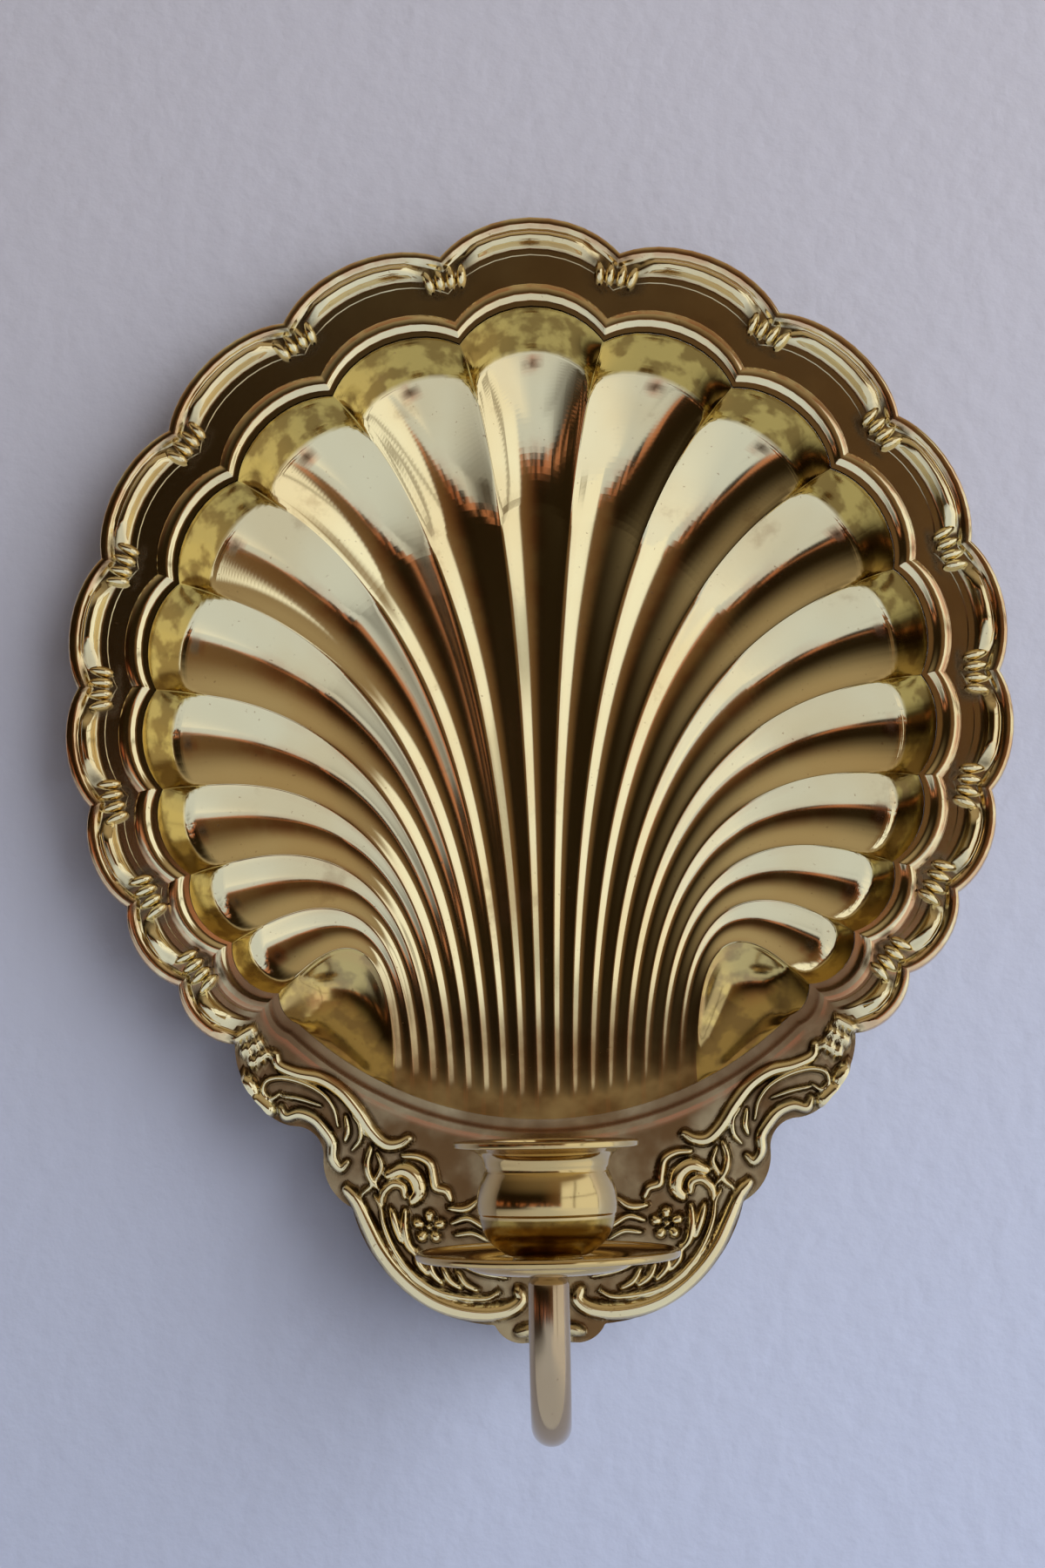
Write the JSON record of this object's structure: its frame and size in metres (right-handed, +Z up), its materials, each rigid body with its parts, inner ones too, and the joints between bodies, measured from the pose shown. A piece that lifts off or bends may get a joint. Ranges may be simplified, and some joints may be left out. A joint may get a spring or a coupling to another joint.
{
  "type": "shell wall sconce",
  "caption": "Brass wall sconce for one candle: pressed scallop-shell plate with a rolled, scalloped rim and scrolled foot, bent rod arm, drip pan and flanged candle cup.",
  "frame": {"origin": "centre of the hanging eye, on the wall plane", "axes": "+X to the right as seen from the room, +Y into the wall, +Z up"},
  "size_m": [0.2276, 0.1192, 0.2857],
  "materials": {
    "shell_brass": "polished, aged",
    "turned_brass": "polished",
    "strap_brass": "dull, as rolled",
    "fixing_steel": "plain"
  },
  "bodies": {
    "root": {"shell_plate": "shell_brass", "hanger_strap": "strap_brass", "arm": "turned_brass", "arm_washer": "fixing_steel", "arm_nut": "fixing_steel", "drip_pan": "turned_brass", "candle_cup": "turned_brass", "cup_screw": "turned_brass"}
  },
  "joints": []
}
